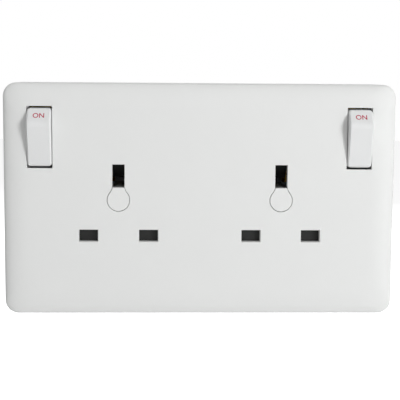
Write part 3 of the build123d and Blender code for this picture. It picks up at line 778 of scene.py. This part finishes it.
    def build(self) -> None:
        """Join the CAD cover's face and inside to the new outside."""
        piece = merged_copy("front_plate", "cover", flats=False)
        mesh = bmesh.new()
        mesh.from_mesh(piece.data)
        skin = [face for face in mesh.faces if self.is_outer_skin(face)]
        log.info("cover: %d faces of the CAD skin stood for", len(skin))
        bmesh.ops.delete(mesh, geom=skin, context="FACES")
        mesh.to_mesh(piece.data)
        mesh.free()
        outside = self.outside()
        self.clear_rocker_openings(outside)
        only(piece)
        outside.select_set(True)
        bpy.ops.object.join()
        self.stitch(piece)
        shade(piece)
        dress(piece, UREA_COVER, "socket", "front_plate")

    def stitch(self, piece: bpy.types.Object) -> None:
        """Close the seams between the CAD cover and its new outside.

        Where a vertex of one open edge lies on another, that edge is split there, and the
        two vertices become one. The slits left at the openings' corners are filled.
        """
        mesh = bmesh.new()
        mesh.from_mesh(piece.data)
        low, high = self.split_within
        for _ in range(self.stitch_rounds):
            bmesh.ops.remove_doubles(mesh, verts=mesh.verts, dist=self.merge_reach * MM)
            edges = [edge for edge in mesh.edges if edge.is_boundary]
            points = {vertex for edge in edges for vertex in edge.verts}
            for edge in edges:
                start, end = edge.verts
                span = end.co - start.co
                for point in points - {start, end}:
                    share = (point.co - start.co).dot(span) / span.length_squared
                    off = (start.co + span * share - point.co).length
                    if low < share < high and off < self.stitch_reach * MM:
                        new = bmesh.utils.edge_split(edge, start, share)[1]
                        new.co = point.co
                        break
        rims = {vertex for edge in mesh.edges if edge.is_boundary for vertex in edge.verts}
        bmesh.ops.remove_doubles(mesh, verts=list(rims), dist=self.stitch_reach * MM)
        slits = [edge for edge in mesh.edges if edge.is_boundary]
        bmesh.ops.holes_fill(mesh, edges=slits, sides=0)
        bmesh.ops.recalc_face_normals(mesh, faces=mesh.faces)
        mesh.to_mesh(piece.data)
        mesh.free()


# Stand-ins for CAD pieces


@dataclass(frozen=True)
class StandIn:
    """One CAD piece whose looks a rounded, smooth copy takes over."""

    node: str
    piece: str
    body: str


def stand_in_for(twins: Sequence[StandIn], finish: Finish, rounding: float) -> None:
    """Round the first of some equal CAD pieces and copy it to where each of them is.

    Args:
        twins: The equal pieces.
        finish: What they are made of.
        rounding: Width of the rounding of their edges in millimetres.
    """
    first = twins[0]
    pattern = merged_copy(first.node, f"{first.piece}_pattern")
    soften(pattern, rounding)
    start = middle_of(first.node)
    shifts = {twin.piece: middle_of(twin.node) - start for twin in twins}
    for twin, piece in zip(twins, copies(pattern, shifts)):
        dress(piece, finish, twin.body, twin.node)


# Rockers and caps


@dataclass
class Rockers:
    """The two switches' rockers, with rounded edges and a printed legend each."""

    edge_rounding: float = 0.28
    ridge_from_pivot: float = 5.2
    ridge_height: float = 4.5
    lip_height: float = 0.1
    legend: str = "ON"
    legend_from_ridge: float = 3.6
    legend_cap_height: float = 2.1
    legend_width: float = 4.15
    stroke_weight: float = 0.012
    ink_thickness: float = 0.02

    def build(self) -> None:
        """Make the rockers and then the legends on their short slopes."""
        twins = [StandIn(f"rocker_{n}", f"rocker_cap_{n}", f"rocker_{n}") for n in SIDES]
        stand_in_for(twins, ROCKER_PLASTIC, self.edge_rounding)
        self.print_legends()

    def print_legends(self) -> None:
        """Print the legend across each slope above the ridge."""
        high_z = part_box("rocker_left")[1].z / MM
        ridge_z = joint_place("rocker_left_tilt").z + self.ridge_from_pivot
        slope = math.atan2(self.ridge_height - self.lip_height, high_z - ridge_z)
        pattern = lettering(
            "legend_pattern", self.legend, self.ink_thickness, self.stroke_weight
        )
        # Letters lie in X and Y as made, and the slope leans back from the upright
        size = pattern.dimensions
        grow = Matrix.Diagonal(
            (self.legend_width * MM / size.x, self.legend_cap_height * MM / size.y, MM, 1)
        )
        upright = Matrix.Rotation(math.pi / 2 - slope, 4, "X")
        pattern.data.transform(upright @ grow)
        down_slope = Vector((0, math.sin(slope), math.cos(slope))) * self.legend_from_ridge
        ridge_y = -(FACE_HEIGHT + self.ridge_height)
        shifts = {
            f"legend_on_{n}": Vector((middle_of(f"rocker_{n}").x, ridge_y, ridge_z))
            + down_slope
            for n in SIDES
        }
        for name, piece in zip(SIDES, copies(pattern, shifts)):
            dress(piece, RED_INK, f"rocker_{name}")


@dataclass
class Caps:
    """The two keyhole-shaped screw caps, flush with the face."""

    edge_rounding: float = 0.12

    def build(self) -> None:
        """Round the rim of each cap, which catches a thin line of light."""
        twins = [StandIn(f"screw_cap_{n}", f"cap_{n}", f"screw_cap_{n}") for n in SIDES]
        stand_in_for(twins, UREA_CAP, self.edge_rounding)


# Screws


@dataclass
class SlottedScrew:
    """A kind of turned screw: a slotted head, a shank and, on one kind, a thread."""

    name: str
    head_radius: float
    head_height: float
    shank_radius: float
    slot_width: float
    slot_depth: float
    edge: float
    faces_room: bool = False
    pitch: float = 0.0
    thread_depth: float = 0.3
    thread_end: float = 0.0
    sides: int = 40
    # How far in and down each step of the head's rounded rim is, in edges
    rim: tuple[tuple[float, float], ...] = ((2.0, 0.0), (0.5, 0.6), (0.0, 1.6))
    # The tip's chamfer in shank radii, and the thread's crest and root in pitches
    tip_share: float = 0.45
    crest_share: float = 0.15
    root_share: float = 0.9
    root_sink: float = 0.1
    thread_sides: int = 24
    # Turns that are left plain at the tip, and at the tip and the thread's end together
    tip_turns: int = 2
    plain_turns: int = 3
    # How long the slot's saw is, in head radii
    saw_reach: float = 3.0

    def profile(self, length: float) -> list[tuple[float, float]]:
        """Radius and level of each step, from the head's top down to the tip."""
        head, edge, shank = self.head_radius, self.edge, self.shank_radius
        tip = shank * self.tip_share
        steps = [(head - inward * edge, -down * edge) for inward, down in self.rim]
        steps.append((head, -self.head_height))
        if head > shank:
            steps.append((shank, -self.head_height))
        return steps + [(shank, tip - length), (shank - tip, -length)]

    def build(self, places: dict[str, str]) -> None:
        """Model the screw once and drive a copy into each of its places.

        Args:
            places: Name of each CAD screw of this kind to the name of its piece.
        """
        boxes = {node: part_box(node) for node in places}
        low, high = next(iter(boxes.values()))
        length = (high.y - low.y) / MM
        pattern = turned(f"{self.name}_pattern", self.profile(length), self.sides)
        self.cut_slot(pattern)
        if self.pitch:
            self.wind_thread(pattern, length)
        shade(pattern)
        turn = math.pi / 2 if self.faces_room else -math.pi / 2
        pattern.data.transform(Matrix.Rotation(turn, 4, "X"))
        shifts = {}
        for node, (low, high) in boxes.items():
            middle = middle_of(node)
            top = low.y if self.faces_room else high.y
            shifts[places[node]] = Vector((middle.x, top / MM, middle.z))
        for node, piece in zip(places, copies(pattern, shifts)):
            dress(piece, ZINC_STEEL, "socket", node)

    def cut_slot(self, piece: bpy.types.Object) -> None:
        """Saw the driver's slot across the head."""
        bpy.ops.object.select_all(action="DESELECT")
        bpy.ops.mesh.primitive_cube_add(size=1)
        saw = bpy.context.object
        across = self.saw_reach * self.head_radius
        size = (across * MM, self.slot_width * MM, 2 * self.slot_depth * MM, 1)
        saw.data.transform(Matrix.Diagonal(size))
        apply_modifier(piece, "BOOLEAN", operation="DIFFERENCE", object=saw, solver="EXACT")
        bpy.data.objects.remove(saw)

    def wind_thread(self, piece: bpy.types.Object, length: float) -> None:
        """Wind a ridge round the shank, from near its tip up to where the thread ends.

        The ridge starts as a plane beside the axis, as deep as the thread and as high as
        its root, and its outer edge is drawn in to the crest.
        """
        crest = self.shank_radius
        root = crest - self.thread_depth - self.root_sink
        middle_x = (root + crest) / 2 * MM
        start = self.tip_turns * self.pitch - length
        bpy.ops.object.select_all(action="DESELECT")
        bpy.ops.mesh.primitive_plane_add(
            size=1, location=(middle_x, 0, start * MM), rotation=(math.pi / 2, 0, 0)
        )
        ridge = bpy.context.object
        ridge.scale = ((crest - root) * MM, self.pitch * self.root_share * MM, 1)
        bpy.ops.object.transform_apply(location=True, rotation=True, scale=True)
        bpy.ops.object.mode_set(mode="EDIT")
        mesh = bmesh.from_edit_mesh(ridge.data)
        for vertex in mesh.verts:
            vertex.select_set(vertex.co.x > middle_x)
        mesh.select_flush(True)
        bpy.ops.transform.resize(
            value=(1, 1, self.crest_share / self.root_share),
            center_override=(crest * MM, 0, start * MM),
        )
        bpy.ops.mesh.select_all(action="SELECT")
        bpy.ops.mesh.delete(type="ONLY_FACE")
        bpy.ops.object.mode_set(mode="OBJECT")
        apply_modifier(
            ridge,
            "SCREW",
            axis="Z",
            steps=self.thread_sides,
            render_steps=self.thread_sides,
            screw_offset=self.pitch * MM,
            iterations=int((length - self.thread_end) / self.pitch) - self.plain_turns,
        )
        close_ends(ridge)
        only(piece)
        ridge.select_set(True)
        bpy.ops.object.join()


BOX_SCREW = SlottedScrew(
    name="box_screw",
    head_radius=3.3,
    head_height=2.4,
    shank_radius=1.75,
    slot_width=0.9,
    slot_depth=1.2,
    edge=0.6,
    faces_room=True,
    pitch=0.6,
    thread_end=8.4,
)
CLAMP_SCREW = SlottedScrew(
    name="clamp_screw",
    head_radius=1.7,
    head_height=1.4,
    shank_radius=1.7,
    slot_width=0.7,
    slot_depth=0.9,
    edge=0.15,
)
CASE_SCREW = SlottedScrew(
    name="case_screw",
    head_radius=2.4,
    head_height=1.6,
    shank_radius=1.45,
    slot_width=0.9,
    slot_depth=0.8,
    edge=0.35,
)


def build_screws() -> None:
    """Make every screw of the socket from the three kinds it has."""
    BOX_SCREW.build({f"fixing_screw_{n}": f"box_screw_{n}" for n in SIDES})
    CLAMP_SCREW.build({f"terminal_screw_{t}": f"clamp_screw_{t}" for t in TERMINALS})
    CASE_SCREW.build({f"assembly_screw_{i}": f"case_screw_{i}" for i in CASE_SCREWS})


# Terminal letters


class Core(Enum):
    """The letters moulded beside the terminals, by the core each one takes."""

    LIVE = "L"
    NEUTRAL = "N"
    EARTH = "E"


@dataclass
class TerminalMarks:
    """Raised letters on the back of the housing, one beside each terminal's driver hole."""

    letter_height: float = 3.0
    relief: float = 0.25
    beside: Vector = field(default_factory=lambda: Vector((5.5, 0, 0)))
    below: Vector = field(default_factory=lambda: Vector((0, 0, -5.5)))

    def build(self) -> None:
        """Raise each core's letter where its terminals are."""
        self.raise_letter(Core.LIVE, ["live"], self.beside)
        self.raise_letter(Core.NEUTRAL, ["neutral"], self.beside)
        self.raise_letter(Core.EARTH, ["earth_left", "earth_right"], self.below)

    def raise_letter(self, core: Core, terminals: Sequence[str], away: Vector) -> None:
        """Model one letter, to read from behind, and copy it to its terminals.

        Args:
            core: Which letter it is.
            terminals: The terminals that take this core.
            away: How far the letter is from the terminal screw's axis, in millimetres.
        """
        pattern = lettering(f"{core.value}_pattern", core.value, 2 * self.relief)
        grow = self.letter_height / pattern.dimensions.y
        size = Matrix.Diagonal((grow * MM, grow * MM, MM, 1))
        from_behind = Matrix.Rotation(math.pi, 4, "Z") @ Matrix.Rotation(math.pi / 2, 4, "X")
        pattern.data.transform(from_behind @ size)
        shifts = {}
        for terminal in terminals:
            screw = middle_of(f"terminal_screw_{terminal}")
            shifts[f"mark_{terminal}"] = Vector((screw.x, HOUSING_BACK, screw.z)) + away
        for piece in copies(pattern, shifts):
            dress(piece, BASE_PLASTIC, "socket")


# Springs, plungers, contacts and terminals


@dataclass(frozen=True)
class SpringSeat(StandIn):
    """Where one spring of a kind sits, and the joint that closes it."""

    joint: str
    foot: Vector


@dataclass
class CoilSpring:
    """A kind of compression spring of round wire."""

    direction: Vector
    length: float
    coil_radius: float
    wire_radius: float
    turns: int
    travel: float
    held_at_foot: bool
    wire_sides: int = 12
    steps: int = 28
    crease: float = 50.0

    def build(self, seats: Sequence[SpringSeat]) -> None:
        """Wind the spring once and set a copy on each of its seats."""
        shifts = {seat.piece: seat.foot for seat in seats}
        for seat, piece in zip(seats, copies(self.wind(), shifts)):
            dress(piece, SPRING_STEEL, seat.body, seat.node)
            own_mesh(piece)

    def wind(self) -> bpy.types.Object:
        """Wind the wire from the origin along the spring's direction."""
        bpy.ops.object.select_all(action="DESELECT")
        bpy.ops.mesh.primitive_circle_add(
            vertices=self.wire_sides,
            radius=self.wire_radius * MM,
            location=(self.coil_radius * MM, 0, self.wire_radius * MM),
            rotation=(math.pi / 2, 0, 0),
        )
        piece = bpy.context.object
        piece.name = "coil_pattern"
        bpy.ops.object.transform_apply(location=True, rotation=True, scale=True)
        apply_modifier(
            piece,
            "SCREW",
            axis="Z",
            steps=self.steps,
            render_steps=self.steps,
            screw_offset=(self.length - 2 * self.wire_radius) / self.turns * MM,
            iterations=self.turns,
        )
        close_ends(piece)
        only(piece)
        bpy.ops.object.shade_smooth_by_angle(angle=math.radians(self.crease))
        turn = Vector((0, 0, 1)).rotation_difference(self.direction)
        piece.data.transform(turn.to_matrix().to_4x4())
        return piece


@dataclass
class Mechanism:
    """What is behind the cover: springs, plungers, shutters, contacts and terminals."""

    half_swing: float = 6.0
    shutter_room: float = 9.0
    shutter_travel: float = 5.2
    stem_bore_start: float = 1.3
    plunger_travel: float = 0.9
    small_rounding: float = 0.12
    terminal_rounding: float = 0.2

    def build(self) -> None:
        """Build each group of pieces in turn."""
        self.shutter_springs()
        self.plunger_springs()
        self.switch_pieces("plunger", PLUNGER_NYLON, "plunger_{}")
        self.switch_pieces("moving_tip", SILVER, "blade_{}")
        self.switch_pieces("fixed_tip", SILVER, "socket")
        for name in SIDES:
            paint_node(f"shutter_{name}", SHUTTER_PLASTIC)
            paint_node(f"blade_{name}", BRASS)
            paint_node(f"live_contact_{name}", BRASS)
        for node in ("live_bus", "earth_strip", "neutral_strip"):
            paint_node(node, BRASS)
        paint_node("rear_base", BASE_PLASTIC)
        for pair in (("live", "neutral"), ("earth_left", "earth_right")):
            blocks = [StandIn(f"terminal_{t}", f"terminal_{t}_finished", "socket") for t in pair]
            stand_in_for(blocks, BRASS, self.terminal_rounding)

    def switch_pieces(self, stem: str, finish: Finish, body: str) -> None:
        """Stand rounded, smooth copies in for a small piece that both switches have.

        Args:
            stem: The piece's name without its side.
            finish: What it is made of.
            body: The body it moves with, with a place for its side.
        """
        twins = [StandIn(f"{stem}_{n}", f"{stem}_{n}_finished", body.format(n)) for n in SIDES]
        stand_in_for(twins, finish, self.small_rounding)

    def shutter_springs(self) -> None:
        """The spring above each shutter, up against the cover."""
        seats = []
        for name in SIDES:
            node = f"shutter_spring_{name}"
            foot = middle_of(node)
            foot.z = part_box(node)[1].z / MM - self.shutter_room
            joint = f"shutter_{name}_slide"
            seats.append(SpringSeat(node, f"shutter_coil_{name}", "socket", joint, foot))
        CoilSpring(
            direction=Vector((0, 0, 1)),
            length=self.shutter_room,
            coil_radius=1.35,
            wire_radius=0.2,
            turns=5,
            travel=self.shutter_travel,
            held_at_foot=False,
        ).build(seats)

    def plunger_springs(self) -> None:
        """The spring in each rocker's stem that pushes its plunger out."""
        swing = math.radians(self.half_swing)
        direction = Vector((0, math.cos(swing), math.sin(swing)))
        seats = []
        for name in SIDES:
            foot = joint_place(f"rocker_{name}_tilt") + direction * self.stem_bore_start
            node, joint = f"plunger_spring_{name}", f"plunger_{name}_slide"
            seats.append(SpringSeat(node, f"plunger_coil_{name}", f"rocker_{name}", joint, foot))
        plunger = frame["nodes"]["plunger_left"].data.vertices
        foot = seats[0].foot
        CoilSpring(
            direction=direction,
            length=min((point.co / MM - foot).dot(direction) for point in plunger),
            coil_radius=1.05,
            wire_radius=0.17,
            turns=4,
            travel=self.plunger_travel,
            held_at_foot=True,
        ).build(seats)


# Studio


@dataclass(frozen=True)
class Lamp:
    """A round soft lamp aimed at the socket."""

    name: str
    direction: tuple[float, float, float]
    distance: float
    size: float
    power: float
    mirrored: bool

    def build(self) -> None:
        """Hang the lamp this far out, facing the origin, seen in gloss or not."""
        data = bpy.data.lights.new(self.name, "AREA")
        data.shape = "DISK"
        data.size = self.size * MM
        data.energy = self.power
        lamp = bpy.data.objects.new(self.name, data)
        direction = Vector(self.direction).normalized()
        aim = direction.to_track_quat("Z", "Y").to_matrix().to_4x4()
        lamp.matrix_world = Matrix.Translation(direction * self.distance * MM) @ aim
        lamp.visible_glossy = self.mirrored
        bpy.context.scene.collection.objects.link(lamp)


@dataclass
class Studio:
    """The camera, the light and the floor."""

    # The camera's turn about the face's centre, its distance and lens, from the photo's fit
    pitch: float = 6.64
    yaw: float = 1.89
    roll: float = -0.20
    distance: float = 400.0
    slide: tuple[float, float] = (0.02, 0.14)
    lens: float = 97.2
    sensor: float = 36.0
    clip: tuple[float, float] = (0.01, 20.0)
    lamps: tuple[Lamp, ...] = (
        Lamp("key", (0.58, -0.79, 0.15), 1300.0, 480.0, 3.6, True),
        Lamp("key_scrim", (0.58, -0.79, 0.15), 1310.0, 480.0, 7.4, False),
        Lamp("fill_below", (-0.3, -0.5, -0.86), 900.0, 700.0, 2.5, False),
        Lamp("fill_above", (-0.3, -0.45, 0.88), 900.0, 700.0, 1.4, False),
        Lamp("fill_behind", (0.4, 0.85, 0.35), 1200.0, 600.0, 9.0, False),
    )
    ambient: float = 0.24
    floor_drop: float = 160.0
    floor_size: float = 6000.0
    floor_colour: str = "#F4F4F4"
    floor_lift: float = 0.7

    def build(self) -> None:
        """Set the camera, the lamps, the world and the floor."""
        self.camera()
        for lamp in self.lamps:
            lamp.build()
        self.world()
        self.floor()
        bpy.context.scene.view_settings.view_transform = "Standard"

    def camera(self) -> None:
        """Stand the camera where the photo was taken from."""
        turn = (
            Matrix.Rotation(math.radians(self.roll), 3, "Z")
            @ Matrix.Rotation(math.radians(self.yaw), 3, "Y")
            @ Matrix.Rotation(math.radians(self.pitch), 3, "X")
        ).transposed()
        to_row = Matrix.Rotation(math.pi / 2, 3, "X")
        place = to_row @ turn @ Vector((*self.slide, self.distance))
        place.y -= FACE_HEIGHT
        data = bpy.data.cameras.new("camera")
        data.lens = self.lens
        data.sensor_width = self.sensor
        data.clip_start, data.clip_end = self.clip
        camera = bpy.data.objects.new("camera", data)
        camera.matrix_world = Matrix.Translation(place * MM) @ (to_row @ turn).to_4x4()
        bpy.context.scene.collection.objects.link(camera)
        bpy.context.scene.camera = camera

    def world(self) -> None:
        """Even light all round, with plain white where a lens or a mirror sees it."""
        world = bpy.data.worlds.new("studio")
        world.use_nodes = True
        tree = world.node_tree
        tree.nodes.clear()
        path = add_node(tree, "ShaderNodeLightPath").outputs
        seen = add_node(
            tree,
            "ShaderNodeMath",
            {0: path["Is Camera Ray"], 1: path["Is Glossy Ray"]},
            operation="MAXIMUM",
        ).outputs[0]
        seen = add_node(
            tree,
            "ShaderNodeMath",
            {0: seen, 1: path["Is Transmission Ray"]},
            operation="MAXIMUM",
        ).outputs[0]
        strength = add_node(
            tree,
            "ShaderNodeMapRange",
            {"Value": seen, "To Min": self.ambient, "To Max": 1.0},
        ).outputs["Result"]
        sky = add_node(
            tree, "ShaderNodeBackground", {"Color": (1, 1, 1, 1), "Strength": strength}
        )
        add_node(tree, "ShaderNodeOutputWorld", {"Surface": sky.outputs[0]})
        bpy.context.scene.world = world

    def floor(self) -> None:
        """A pale floor well below the socket, lifted to white where the camera sees it."""
        bpy.ops.object.select_all(action="DESELECT")
        bpy.ops.mesh.primitive_plane_add(
            size=self.floor_size * MM, location=(0, 0, -self.floor_drop * MM)
        )
        floor = bpy.context.object
        floor.name = "floor"
        material = bpy.data.materials.new("floor_white")
        material.use_nodes = True
        tree = material.node_tree
        tree.nodes.clear()
        path = add_node(tree, "ShaderNodeLightPath").outputs
        matt = add_node(tree, "ShaderNodeBsdfDiffuse", {"Color": linear(self.floor_colour)})
        lift = add_node(
            tree,
            "ShaderNodeEmission",
            {"Color": (*[self.floor_lift] * 3, 1), "Strength": path["Is Camera Ray"]},
        )
        both = add_node(
            tree, "ShaderNodeAddShader", {0: matt.outputs[0], 1: lift.outputs[0]}
        )
        add_node(tree, "ShaderNodeOutputMaterial", {"Surface": both.outputs[0]})
        floor.data.materials.append(material)


def main() -> None:
    """Build the socket and the studio."""
    logging.basicConfig(level=logging.INFO, format="%(name)s: %(message)s")
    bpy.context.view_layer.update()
    Studio().build()
    Cover().build()
    Caps().build()
    Rockers().build()
    Mechanism().build()
    build_screws()
    TerminalMarks().build()


if __name__ == "__main__":
    main()
